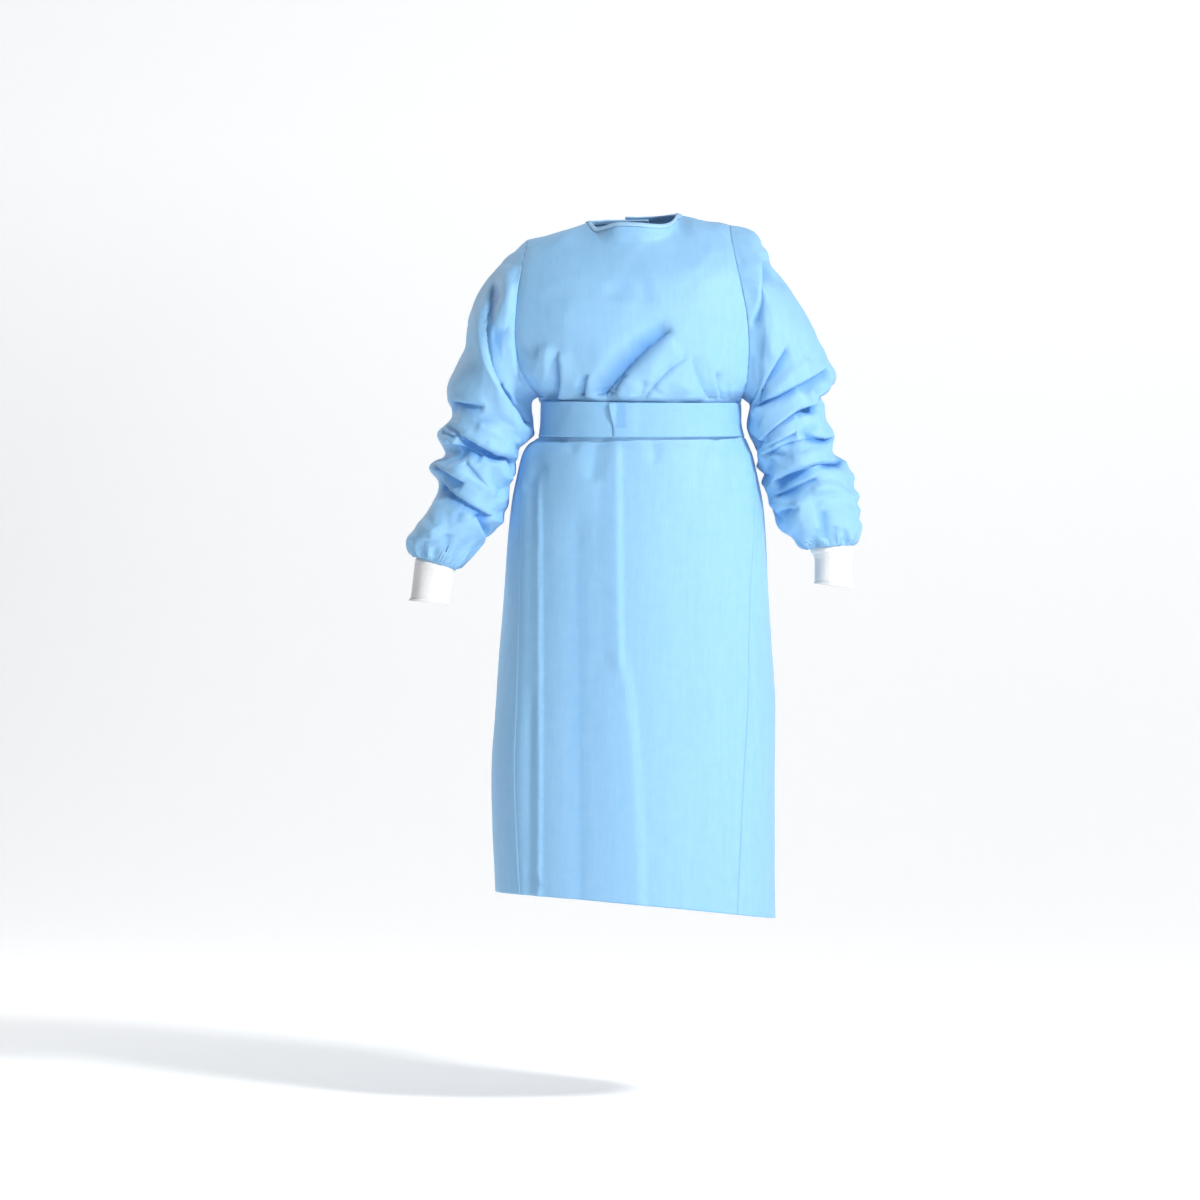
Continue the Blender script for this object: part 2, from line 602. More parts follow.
def hermite(t, first, first_slope, second, second_slope):
    """The cubic that leaves one value at its slope and reaches the next at that one's."""
    return (
        (2 * t**3 - 3 * t**2 + 1) * first
        + (t**3 - 2 * t**2 + t) * first_slope
        + (3 * t**2 - 2 * t**3) * second
        + (t**3 - t**2) * second_slope
    )


def smooth_through(rows, column, at):
    """The column's value at each level: a cubic through the table's rows that never overshoots them."""
    levels = np.array([row.level for row in rows], float)
    values = np.array([getattr(row, column) for row in rows], float)
    at = np.clip(at, levels[0], levels[-1])
    steps = np.diff(levels)
    rises = np.diff(values) / steps
    slopes = np.zeros(len(values))
    same_way = rises[:-1] * rises[1:] > 0
    sums = np.where(same_way, rises[:-1] + rises[1:], 1)
    slopes[1:-1] = np.where(same_way, 2 * rises[:-1] * rises[1:] / sums, 0)
    slopes[0], slopes[-1] = rises[0], rises[-1]
    i = np.clip(np.searchsorted(levels, at) - 1, 0, len(steps) - 1)
    t = (at - levels[i]) / steps[i]
    return hermite(t, values[i], steps[i] * slopes[i], values[i + 1], steps[i] * slopes[i + 1])


def ease(t):
    t = np.clip(t, 0, 1)
    return t * t * (3 - 2 * t)


def bell(value, middle, reach):
    """1 at the middle, and less the further from it."""
    return np.exp(-(((value - middle) / reach) ** 2))


def along_edge(edge, count):
    """Points at even steps along a smooth curve through the edge's points, as an array."""
    knots = np.array(edge, float)
    ends = np.vstack((2 * knots[0] - knots[1], knots, 2 * knots[-1] - knots[-2]))
    slopes = (ends[2:] - ends[:-2]) / 2
    shares = np.linspace(0, 1, EDGE_STEPS, endpoint=False)
    fine = [
        hermite(t, here, slope, after, slope_after)
        for here, slope, after, slope_after in zip(knots, slopes, knots[1:], slopes[1:])
        for t in shares
    ]
    return evenly(np.array(fine + [knots[-1]]), count)


def evenly(line, count):
    """Points at even steps along a line of points."""
    run = np.concatenate(([0], np.cumsum(np.linalg.norm(np.diff(line, axis=0), axis=1))))
    at = np.linspace(0, run[-1], count)
    return np.column_stack([np.interp(at, run, line[:, axis]) for axis in range(3)])


# ---------------------------------------------------------------------------------------------
# The body's surface


def half_width(level, turn):
    """The ring's half width on the side that each turn lies on. A turn of 0 is the left, 90 the front."""
    left_side = np.cos(np.radians(turn)) > 0
    return np.where(left_side, smooth_through(RINGS, "left", level), smooth_through(RINGS, "right", level))


def half_depth(level, turn):
    in_front = np.sin(np.radians(turn)) > 0
    return np.where(in_front, smooth_through(RINGS, "front", level), smooth_through(RINGS, "back", level))


def ring_x(level, turn):
    across = np.cos(np.radians(turn))
    return -np.sign(across) * half_width(level, turn) * np.abs(across) ** (2 / SQUARENESS)


def ring_y(level, turn, x):
    share = np.clip(np.abs(x) / half_width(level, turn), 0, 1)
    depth = half_depth(level, turn) * (1 - share**SQUARENESS) ** (1 / SQUARENESS)
    return -np.sign(np.sin(np.radians(turn))) * depth


def ring_z(level, turn, x):
    forward = np.clip(np.sin(np.radians(turn)), 0, 1)
    dip = smooth_through(RINGS, "dip", level) * forward**1.5
    return level - dip + smooth_through(RINGS, "slope", level) * x / SLOPE_AT


def body_row(level, turns, top):
    """One row of a body panel. Above the underarm it nears the top edge's own points."""
    low = min(level, UNDERARM)
    share = (level - low) / (0 - UNDERARM)
    x = ring_x(level, turns)
    x = x + (top[:, 0] - x) * share**2
    y = ring_y(level, turns, x)
    z = ring_z(low, turns, x)
    z = z + (top[:, 2] - z) * share
    if share > 0:
        past_neck = np.maximum(top[:, 0] - NECK_FRONT[-1].x, NECK_FRONT[0].x - top[:, 0])
        at_neck = 1 - ease(past_neck / NECK_SPREAD)
        roll = SHOULDER_ROLL + (NECK_ROLL - SHOULDER_ROLL) * at_neck
        power = SHOULDER_TURN + (NECK_TURN - SHOULDER_TURN) * at_neck
        out = 1 - np.clip((top[:, 2] - z) / roll, 0, 1)
        y = top[:, 1] + (y - top[:, 1]) * (1 - out**power) ** (1 / power)
    return np.column_stack((x, y, z))


def row_levels():
    """Levels of a panel's rows. Above the underarm they bunch at the armhole's ends, as the solids' do."""
    skirt = np.linspace(RINGS[0].level, UNDERARM, SKIRT_ROWS + 1)[:-1]
    count = ARMHOLE_STEPS * FRONT_FINE
    steps = (1 - np.cos(np.pi * np.arange(count + 1) / count)) / 2
    return np.concatenate((skirt, UNDERARM * (1 - steps)))


def past_centre(level, side):
    """The turn at which a back panel ends, past the centre back. Side is -1 for the left panel."""
    half = smooth_through(RINGS, "right" if side < 0 else "left", level)
    share = smooth_through(SEAMS, "overlap", level) / half
    beyond = math.degrees(math.asin(share ** (SQUARENESS / 2)))
    return -90 - beyond if side < 0 else 270 + beyond


def evened(points):
    """The front's upper cloth, drawn smooth across the way from the neck to the armholes."""
    reach = EVENED_REACH * FRONT_FINE
    smooth = points.copy()
    for _ in range(int(2 * reach * reach)):
        smooth[:, 1:-1] = (smooth[:, :-2] + 2 * smooth[:, 1:-1] + smooth[:, 2:]) / 4
    below = ease((points[-1, :, 2] - points[..., 2] - EVENED_FROM) / EVENED_FADE)
    column = np.arange(points.shape[1])
    inside = ease(np.minimum(column, column[::-1]) / reach)
    return points + (smooth - points) * (below * inside)[..., None]


def front_points(levels):
    top = np.vstack(
        (
            along_edge(LEFT_SHOULDER, SHOULDER_STEPS * FRONT_FINE + 1),
            along_edge(NECK_FRONT, NECK_STEPS * FRONT_FINE + 1)[1:],
            along_edge(RIGHT_SHOULDER, SHOULDER_STEPS * FRONT_FINE + 1)[1:],
        )
    )
    rows = []
    for level in levels:
        first = smooth_through(SEAMS, "left", level)
        last = 180 - smooth_through(SEAMS, "right", level)
        rows.append(body_row(level, np.linspace(first, last, len(top)), top))
    return evened(np.array(rows))


def off_body(x, y, lap):
    """The share of its lift by which the outer back flap stands off: none past the lap and in front."""
    return ease((lap + FLAP_PAST_LAP - x) / FLAP_FADE) * ease((y - FLAP_FROM_Y) / FLAP_FADE_Y)


def back_points(side, levels):
    """A back panel, its columns running forward round the left side or back round the right one."""
    half_neck = NECK_STEPS * BACK_FINE // 2
    column, shoulder, neck = (
        ("left", LEFT_SHOULDER, LEFT_NECK_BACK) if side < 0 else ("right", RIGHT_SHOULDER, RIGHT_NECK_BACK)
    )
    shoulder = along_edge(shoulder, SHOULDER_STEPS * BACK_FINE + 1)[::-1]
    neck = along_edge(neck, half_neck + 1)
    top = np.vstack((neck[::-1], shoulder[1:])) if side < 0 else np.vstack((shoulder, neck[1:]))
    rows = []
    for level in levels:
        if level <= UNDERARM:
            seam = smooth_through(SEAMS, column, level)
        else:
            seam = -smooth_through(ARMHOLE_BACKS, column, level)
        end = past_centre(level, side)
        first, last = (end, seam) if side < 0 else (180 - seam, end)
        rows.append(body_row(level, np.linspace(first, last, len(top)), top))
    points = np.array(rows)
    if side > 0:
        lap = smooth_through(SEAMS, "overlap", np.clip(points[..., 2], RINGS[0].level, 0))
        share = off_body(points[..., 0], points[..., 1], lap)
        points = points + normals_of(points, False) * (FLAP_LIFT * share)[..., None]
    return points


# ---------------------------------------------------------------------------------------------
# Sleeves and cuffs


def loop_points(loops, at, turns):
    """The rings at stations along a sleeve, each through its outer and inner end."""
    table = np.array(loops, float)
    stations = np.arange(len(table))
    before = np.vstack((2 * table[0] - table[1], table, 2 * table[-1] - table[-2]))
    slopes = (before[2:] - before[:-2]) / 2
    i = np.clip(at.astype(int), 0, len(stations) - 2)
    t = (at - i)[:, None]
    row = hermite(t, table[i], slopes[i], table[i + 1], slopes[i + 1])
    outer_x, outer_z, inner_x, inner_z, depth, forward = (row[:, k, None] for k in range(6))
    outward = (1 - np.cos(turns)) / 2
    x = inner_x + (outer_x - inner_x) * outward
    z = inner_z + (outer_z - inner_z) * outward
    y = forward - depth * np.sin(turns)
    return np.stack((x, y, z), axis=-1)


def at_cuff(gathers, above):
    """The share of its rise that each loop's gather has, by its loops above the cuff."""
    share = ease((gathers.start - above) / gathers.fade_in) * ease(above / gathers.fade_out)
    return gathers.rise * share[:, None]


def sleeve_points(loops, armhole):
    """Rings from the armhole's own points to the cuff, whose seam they are gathered into."""
    turns = 2 * np.pi * np.arange(len(armhole)) / len(armhole)
    at = (len(loops) - 1) * np.linspace(0, 1, SLEEVE_ROWS + 1)
    points = loop_points(loops, at, turns)
    fade = 1 - ease(at / ARMHOLE_FADE)
    points = points + fade[:, None, None] * (armhole - points[0])
    above = at[-1] - at
    wide = np.sin(WIDE_GATHERS.count * turns + 0.7 * np.sin(3 * turns))
    small = np.sin(FINE_GATHERS.count * turns + 2.1 * np.sin(4 * turns) + 1.3 * np.sin(7 * turns))
    waves = at_cuff(WIDE_GATHERS, above) * wide + at_cuff(FINE_GATHERS, above) * (1 - np.abs(small))
    return points + waves[..., None] * normals_of(points, True)


def armhole_of(front, front_column, back, back_column, rows):
    """The armhole's loop: up the front edge from the underarm, then down the back edge."""
    up = front[-rows:, front_column]
    down = back[-rows:, back_column][::-1]
    return np.vstack((up, down[1:-1]))


# ---------------------------------------------------------------------------------------------
# Creases


def normals_of(points, tube):
    """Outward normals of a grid, whose middle is its rings' middle or the body's axis."""
    rise = np.gradient(points, axis=0)
    if tube:
        across = np.roll(points, -1, axis=1) - np.roll(points, 1, axis=1)
        middle = points.mean(axis=1, keepdims=True)
    else:
        across = np.gradient(points, axis=1)
        middle = points * (0, 0, 1)
    normals = np.cross(across, rise)
    normals /= np.linalg.norm(normals, axis=-1, keepdims=True) + 1e-9
    return normals * np.sign((normals * (points - middle)).sum())


def crease_line(crease):
    """Points along the crease's bent line, in X and Z."""
    start = np.array((crease.x0, crease.z0), float)
    end = np.array((crease.x1, crease.z1), float)
    run = end - start
    aside = np.array((run[1], -run[0])) / np.linalg.norm(run)
    t = np.linspace(0, 1, CREASE_STEPS + 1)[:, None]
    return start + run * t + aside * crease.bow * 4 * t * (1 - t)


def lay_crease(points, facing, crease, rise, slide):
    """Adds a crease to how far each point of a grid rises and slides. From its bottom a trough climbs
    steeply to a lip on one side and gently on the other, and the cloth at the lip hangs over it."""
    line = crease_line(crease)
    flat = points[..., (0, 2)]
    reach = LONGEST * crease.width
    low, high = line.min(axis=0) - reach, line.max(axis=0) + reach
    near = np.nonzero(((flat > low) & (flat < high)).all(axis=-1) & (facing > LEAST_FACING))
    if not len(near[0]):
        return
    here = flat[near]
    lengths = np.linalg.norm(here[:, None] - line, axis=-1)
    nearest = lengths.argmin(axis=1)
    away = lengths.min(axis=1)
    step = np.gradient(line, axis=0)[nearest]
    gap = here - line[nearest]
    left = step[:, 0] * gap[:, 1] - step[:, 1] * gap[:, 0]
    along = nearest / CREASE_STEPS
    fullness = 4 * along * (1 - along)
    width = crease.width * (0.5 + 0.5 * np.sqrt(fullness))
    steep = width * (1 - STEEPEST * abs(crease.lean))
    gentle = width * (GENTLE + abs(crease.lean))
    lip = -LIP * abs(crease.lean)
    beyond = np.clip((away - steep) / gentle, 0, 1)
    up_steep = np.where(away < steep, 1 + (lip - 1) * away / steep, lip * (1 - beyond))
    up_gentle = np.clip(1 - away / gentle, 0, 1) ** crease.sharp
    share = ease(fullness / CREASE_ENDS) * ease((facing[near] - LEAST_FACING) / FACING_FADE)
    on_lip = left * crease.lean > 0
    rise[near] += crease.rise * np.where(on_lip, up_steep, up_gentle) * share
    if crease.rise < SLIDES_FROM:
        over = np.clip(1 - np.abs(away - steep) / (LIP_REACH * width), 0, 1) * on_lip
        pull = OVERHANG * crease.rise * over * share
        gap /= np.linalg.norm(gap, axis=-1, keepdims=True) + 1e-9
        slide[(*near, 0)] += pull * gap[:, 0]
        slide[(*near, 2)] += pull * gap[:, 1]


def clear_of(points, edges):
    """Each point's distance from the nearest of the given edges, each a row or a column."""
    apart = np.full(points.shape[:2], FAR)
    for axis, index in edges:
        edge = points[index] if axis == 0 else points[:, index]
        edge = edge[:: max(1, len(edge) // EDGE_SAMPLES)]
        gaps = points[:, :, None] - edge
        apart = np.minimum(apart, np.sqrt((gaps**2).sum(axis=-1).min(axis=-1)))
    return apart


def clear_of_belt(points):
    """The share of a crease that is left at each point of the body: none under the belt."""
    z = points[..., 2]
    return ease(np.maximum(z - BELT_TOP, BELT_BOTTOM - BELOW_CLEAR - z) / BELT_CLEAR)


def beside_belt(points):
    """How far the body's cloth bags out above the belt, in uneven gathers, and stands out below it."""
    x, y, z = points[..., 0], points[..., 1], points[..., 2]
    size = GATHER_SIZE
    uneven = np.array([[noise.noise((px / size, py / size, 1.7)) for px, py, _ in row] for row in points])
    above = BLOUSE * bell(z, BELT_TOP + 5, 9) * (z > BELT_TOP - 1) * (0.6 + 1.6 * uneven)
    below = BELOW_BELT * bell(z, BELT_BOTTOM - 4, 7) * (z < BELT_BOTTOM - 0.5)
    for gap in BELT_GAPS:
        below = below * (1 - 1.3 * bell(x, gap, 7) * (y < 0))
    return above + below


def averaged(values, axis, ring):
    """Values of a grid, each averaged with its two neighbours along an axis."""
    pads = [(0, 0)] * values.ndim
    pads[axis] = (1, 1)
    padded = np.moveaxis(np.pad(values, pads, "wrap" if ring else "edge"), axis, 0)
    return np.moveaxis((padded[:-2] + 2 * padded[1:-1] + padded[2:]) / 4, 0, axis)


def blurred(values, times, tube):
    for _ in range(times):
        values = averaged(averaged(values, 0, False), 1, tube)
    return values


def between_coarse(values, axis, count):
    """A coarse grid's values along one axis, filled in for every row or column of the fine grid."""
    values = np.moveaxis(values, axis, 0)
    at = np.arange(count) / COARSE
    i = np.clip(at.astype(int), 0, len(values) - 2)
    t = (at - i)[:, None, None]
    return np.moveaxis(values[i] * (1 - t) + values[i + 1] * t, 0, axis)


def pleated(places, tilt, size, seed):
    """Straight ridges and troughs with flat cloth between them, in waves that bend and run out."""
    across, along = math.sin(math.radians(tilt)), math.cos(math.radians(tilt))
    heights = np.empty(places.shape[:2])
    for i, row in enumerate(places):
        for j, (x, y, z) in enumerate(row):
            bend = noise.noise((x / 95 + seed, y / 95, z / 95))
            bend += 0.35 * noise.noise((x / 40, y / 40, z / 40 + seed))
            strength = noise.noise((x / 70, y / 70 + seed, z / 70 + 2 * seed))
            wave = (x * across + z * along) / size + 0.9 * bend
            heights[i, j] = abs(wave - math.floor(wave) - 0.5) * max(0.0, 0.35 + 1.5 * strength)
    return heights * size


def crumpled(points, tube):
    """The flat facets and small sharp creases that thin crisp cloth takes between its large folds. They are
    strongest on the lower sleeves and just above the belt."""
    if tube:
        down = np.linspace(0, 1, len(points))[:, None]
        steep = 0.05 + 0.33 * ease((down - 0.24) / 0.25) * ease((0.96 - down) / 0.28)
        folds, side = SLEEVE_FOLDS, math.copysign(1, points[..., 0].mean())
    else:
        z = points[..., 2]
        steep = 0.009 + 0.09 * bell(z, -240, 40) + 0.02 * ease((z + 250) / 30)
        folds, side = BODY_FOLDS, 1
    rise = sum(fold.share * pleated(points, fold.tilt * side, fold.size, fold.seed) for fold in folds)
    return (rise - rise.mean()) * steep


def settled(points, sewn):
    """Each point's shift as a tube of cloth that is too large for its place settles there by itself."""
    coarse = points[::COARSE, ::COARSE]
    scene = bpy.context.scene
    sheet = grid_mesh("settling", coarse, True)
    scene.collection.objects.link(sheet)
    places = [(v.index, row, column) for v, row, column in grid_places(sheet.data)]
    held = {i for i, row, _ in places if row in [index % len(coarse) for index in sewn]}
    sheet.vertex_groups.new(name="Sewn").add(sorted(held), 1.0, "REPLACE")
    cloth = sheet.modifiers.new("Cloth", "CLOTH")
    for name, value in SETTLING.items():
        setattr(cloth.settings, name, value)
    cloth.settings.effector_weights.gravity = 0
    cloth.point_cache.frame_start = 1
    cloth.point_cache.frame_end = SETTLING_FRAMES
    for now in range(1, SETTLING_FRAMES + 1):
        scene.frame_set(now)
    after = sheet.evaluated_get(bpy.context.evaluated_depsgraph_get()).data
    flat = np.empty(len(after.vertices) * 3)
    after.vertices.foreach_get("co", flat)
    flat = flat.reshape(-1, 3) / MM
    moved = coarse.copy()
    for i, row, column in places:
        moved[row, column] = flat[i]
    bpy.data.objects.remove(sheet, do_unlink=True)
    scene.frame_set(1)
    shift = moved - coarse
    shift = shift - blurred(shift, LARGE_BENDS, True)
    length = np.linalg.norm(shift, axis=-1, keepdims=True) + 1e-9
    shift = shift / length * CRUMPLE * np.tanh(length / CRUMPLE)
    shift = np.concatenate((shift, shift[:, :1]), axis=1)
    shift = between_coarse(between_coarse(shift, 0, points.shape[0]), 1, points.shape[1])
    return blurred(shift, 1, True)


class Cloth:
    """One cut piece: its grid, the edges that are sewn, and how far each point stands out of its form."""

    def __init__(self, points, creases=(), tube=False, sewn=(), settles=False):
        normals = normals_of(points, tube)
        rise, slide = np.zeros(points.shape[:2]), np.zeros(points.shape)
        for crease in creases:
            facing = -normals[..., 1] if crease.side == "front" else normals[..., 1]
            lay_crease(points, facing, crease, rise, slide)
        clear = clear_of(points, sewn)
        share = ease(clear / SEAM_CLEAR)
        beside = 0.0
        if creases:
            rise += crumpled(points, tube)
        if creases and not tube:
            beside = beside_belt(points) * share
            share = share * clear_of_belt(points)
        rise = blurred(rise, 1, tube) * share + beside
        rise += SEAM_PUFF * ease(clear / SEAM_PUFF_FADE) * (share > 0)
        points = points + rise[..., None] * normals + slide * share[..., None]
        if settles:
            shift = settled(points, [index for _, index in sewn]) * share[..., None]
            points = points + shift
            rise = rise + (shift * normals).sum(axis=-1)
        self.points = points
        self.rise = rise
        self.tube = tube


# ---------------------------------------------------------------------------------------------
# Meshes


def mesh_of(name, bm):
    mesh = bpy.data.meshes.new(name)
    bm.to_mesh(mesh)
    bm.free()
    mesh.shade_smooth()
    return mesh


def grid_places(mesh):
    rows, columns = mesh.attributes["Row"].data, mesh.attributes["Column"].data
    return [(v, rows[v.index].value, columns[v.index].value) for v in mesh.vertices]


def grid_mesh(name, points, tube=False, depth=None):
    """A sheet through a grid of points. Its UV map is the flat cut in metres."""
    rows, columns = points.shape[:2]
    if tube:
        points = np.concatenate((points, points[:, :1]), axis=1)
    across = np.linalg.norm(np.diff(points, axis=1), axis=-1).cumsum(axis=1) * MM
    across = np.concatenate((np.zeros((rows, 1)), across), axis=1)
    across -= across[:, -1:] / 2
    up = np.linalg.norm(np.diff(points, axis=0), axis=-1).cumsum(axis=0) * MM
    up = np.concatenate((np.zeros((1, points.shape[1])), up), axis=0)
    up = np.repeat(up.mean(axis=1, keepdims=True), points.shape[1], axis=1)
    bm = bmesh.new()
    cut = bm.loops.layers.uv.new("Cut")
    steps = (points.shape[1] - 1, rows - 1)
    bmesh.ops.create_grid(bm, x_segments=steps[0], y_segments=steps[1], size=0.5)
    row_of = bm.verts.layers.int.new("Row")
    column_of = bm.verts.layers.int.new("Column")
    deep = bm.verts.layers.float.new("Depth")
    for vert in bm.verts:
        column = round((vert.co.x + 0.5) * steps[0])
        row = round((vert.co.y + 0.5) * steps[1])
        vert[row_of], vert[column_of] = row, column % columns
        vert.co = points[row, column] * MM
        vert[deep] = 0.0 if depth is None else depth[row, column % columns]
        vert.index = row * points.shape[1] + column
    flat_across, flat_up = across.ravel(), up.ravel()
    for face in bm.faces:
        for loop in face.loops:
            loop[cut].uv = (flat_across[loop.vert.index], flat_up[loop.vert.index])
    if tube:
        bmesh.ops.remove_doubles(bm, verts=bm.verts, dist=1e-6)
    return bpy.data.objects.new(name, mesh_of(name, bm))


def face_out(sheet, outward):
    """Turns the sheet round if its first face doesn't look the way given."""
    if sheet.data.polygons[len(sheet.data.polygons) // 2].normal.dot(Vector(outward)) < 0:
        sheet.data.flip_normals()


def middle_normal(points, tube):
    """The grid's outward normal near the face that face_out reads."""
    rows, columns = points.shape[:2]
    spans = columns if tube else columns - 1
    face = (rows - 1) * spans // 2
    return normals_of(points, tube)[face // spans, face % spans]


def finished(piece, node, slot):
    """The object as a piece of the part: its finish, its body and the frame's node that it stands for."""
    bpy.context.scene.collection.objects.link(piece)
    piece.data.materials.append(finish_of(slot))
    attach(piece, "root")
    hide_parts(node)


def cloth_piece(name, cloth, wall=None):
    """A cut piece: the cloth's grid as a mesh with its thickness."""
    cut = CUTS[name]
    depth = -cloth.rise / (SLEEVE_DEPTH if cloth.tube else BODY_DEPTH)
    piece = grid_mesh(name, cloth.points, cloth.tube, np.clip(depth, -1, 1))
    face_out(piece, middle_normal(cloth.points, cloth.tube))
    solid = piece.modifiers.new("Thickness", "SOLIDIFY")
    solid.thickness = wall or bpy.context.scene.gown.wall
    solid.offset = -1
    finished(piece, cut.node, cut.slot)


# ---------------------------------------------------------------------------------------------
# Materials


class Value:
    """A socket of a material. Adding to it or multiplying it adds a Math node."""

    def __init__(self, paint, socket):
        self.paint = paint
        self.socket = socket

    def __add__(self, other):
        return self.paint.maths("ADD", self, other)

    def __mul__(self, other):
        return self.paint.maths("MULTIPLY", self, other)

    __radd__ = __add__


class Paint:
    """A material being made: its node tree and its Principled shader."""

    def __init__(self, name, **values):
        self.material = bpy.data.materials.new(name)
        self.material.use_nodes = True
        self.tree = self.material.node_tree
        self.shader = self.tree.nodes["Principled BSDF"]
        for label, value in values.items():
            self.shader.inputs[label.replace("_", " ")].default_value = value

    def node(self, kind, inputs=None, output=0, **settings):
        """One output of a new node, with its settings and then the values or links of its inputs."""
        node = self.tree.nodes.new(kind)
        for name, value in settings.items():
            setattr(node, name, value)
        for name, value in (inputs or {}).items():
            if isinstance(value, Value):
                self.tree.links.new(value.socket, node.inputs[name])
            else:
                node.inputs[name].default_value = value
        return Value(self, node.outputs[output])

    def maths(self, operation, *values):
        return self.node("ShaderNodeMath", dict(enumerate(values)), operation=operation)

    def noise(self, where, scale, detail=2.0, roughness=0.5):
        inputs = {"Vector": where, "Scale": scale, "Detail": detail, "Roughness": roughness}
        return self.node("ShaderNodeTexNoise", inputs, "Fac")

    def stretched(self, where, factors):
        """The coordinates, multiplied along each axis."""
        return self.node("ShaderNodeVectorMath", {0: where, 1: factors}, "Vector", operation="MULTIPLY")

    def mixed(self, share, first, second):
        """A colour between two others. The node's inputs for colours are its seventh and eighth."""
        return self.node("ShaderNodeMix", {0: share, 6: first, 7: second}, 2, data_type="RGBA")

    def depth(self, low):
        """The share of its deepest colour that the cloth has, cut off at 0 and 1."""
        depth = self.node("ShaderNodeAttribute", None, "Fac", attribute_name="Depth")
        return self.within(depth, low, 1.0)

    def within(self, value, low, high):
        inputs = {"Value": value, "From Min": low, "From Max": high}
        return self.node("ShaderNodeMapRange", inputs, "Result")

    def cut(self):
        """The place on the flat cut, in metres."""
        return self.node("ShaderNodeUVMap", None, "UV", uv_map="Cut")

    def feed(self, name, value):
        self.tree.links.new(value.socket, self.shader.inputs[name])

    def bump(self, height, distance, strength):
        inputs = {"Height": height, "Distance": distance, "Strength": strength}
        self.feed("Normal", self.node("ShaderNodeBump", inputs, "Normal"))


def nonwoven(name, light, deep, streak=1.0):
    """Spunbonded cloth: long fine fibres that lie along the cut, cloudy where they bunch, and a faint
    grain of bonding points. Folds that lie deep look more saturated."""
    sheen = {"Sheen_Weight": 0.12, "Sheen_Roughness": 0.45, "Specular_IOR_Level": 0.42}
    paint = Paint(name, Roughness=0.56, **sheen)
    cut = paint.cut()
    fibres = paint.noise(paint.stretched(cut, FIBRES), scale=1.0, detail=3.0, roughness=0.6)
    wide = paint.noise(paint.stretched(cut, FIBRE_BUNDLES), scale=1.0)
    clouds = paint.noise(cut, scale=55.0, detail=3.0, roughness=0.6)
    grain = paint.noise(cut, scale=900.0, roughness=0.6)
    body = fibres * 0.3 * streak + wide * 0.2 * streak + clouds * 0.3 + grain * 0.2
    share = paint.within(body, 0.1, 0.75)
    depth = paint.depth(0.2)
    colour = paint.mixed(share, deep, light)
    shade = tuple(part * part for part in deep)
    colour = paint.mixed(depth * FOLD_TINT, colour, shade[:3] + (1,))
    paint.feed("Base Color", colour)
    paint.feed("Roughness", 0.5 + clouds * 0.16)
    paint.bump(fibres * 0.5 * streak + clouds * 0.7 + grain * 0.35, distance=0.0005, strength=0.6)
    return paint.material


def rib_knit(name, light, deep):
    """The cuffs' yarn: loops in columns along the ribs."""
    sheen = {"Sheen_Weight": 0.25, "Sheen_Roughness": 0.6, "Specular_IOR_Level": 0.25}
    paint = Paint(name, Roughness=0.85, **sheen)
    cut = paint.cut()
    across = paint.node("ShaderNodeSeparateXYZ", {"Vector": cut}, "X")
    up = Value(paint, across.socket.node.outputs["Y"])
    columns = paint.maths("ABSOLUTE", paint.maths("SINE", across * YARN_ACROSS))
    loops = paint.maths("SINE", up * YARN_UP + columns * 2.4)
    fuzz = paint.noise(cut, scale=700.0, detail=3.0, roughness=0.7)
    depth = paint.depth(0.0)
    colour = paint.mixed(depth * 0.75, light, deep)
    colour = paint.mixed(fuzz * 0.16, colour, deep)
    paint.feed("Base Color", colour)
    paint.bump(loops * 0.4 + fuzz * 0.5, distance=0.0004, strength=0.55)
    return paint.material


def plain(name, colour, roughness, glow):
    values = {"Base_Color": colour, "Emission_Color": colour, "Emission_Strength": glow}
    return Paint(name, Roughness=roughness, **values).material


# ---------------------------------------------------------------------------------------------
# What lies on the body


def outermost(turn, level):
    """The body's outermost cloth, which is the outer back flap where the two flaps lap."""
    turns = np.array([turn % 360.0])
    x = ring_x(level, turns)
    y = ring_y(level, turns, x)
    point = np.array((x[0], y[0], ring_z(level, turns, x)[0]))
    lap = smooth_through(SEAMS, "overlap", level)
    over = off_body(x[0], y[0], lap) * ease((x[0] + lap + FLAP_UNDER) / FLAP_UNDER_FADE)
    return point + np.array((0, FLAP_LIFT * over, 0))


def on_body(turn, level, out):
    """A point on the outermost cloth, moved out along its normal."""
    across = outermost(turn + 0.5, level) - outermost(turn - 0.5, level)
    rise = outermost(turn, level + 1) - outermost(turn, level - 1)
    normal = np.cross(across, rise)
    return outermost(turn, level) + normal / np.linalg.norm(normal) * out


def turn_at(x, level, behind=False):
    """The turn at which a ring reaches this X, in front or behind."""
    half = smooth_through(RINGS, "left" if x < 0 else "right", level)
    beyond = math.copysign(math.degrees(math.asin((abs(x) / half) ** (SQUARENESS / 2))), x)
    return 270 - beyond if behind else 90 + beyond


def belt_relief(up, share, turn, near_knot):
    """How far the belt stands out of its form: gathers at the knot, pressed seams and turned-in edges."""
    out = BELT_LAY + BELT_GATHER * math.sin(up * BELT_WAVES + 3 * share) * (1 - near_knot)
    hem = bell(up, 0.1, 0.035) + bell(up, 0.9, 0.035)
    out -= BELT_HEM * hem * near_knot + BELT_EDGE * ease((abs(up - 0.5) - 0.46) / 0.04)
    return out + 0.5 * noise.noise((turn * 0.09, up * 1.2, 3.0))


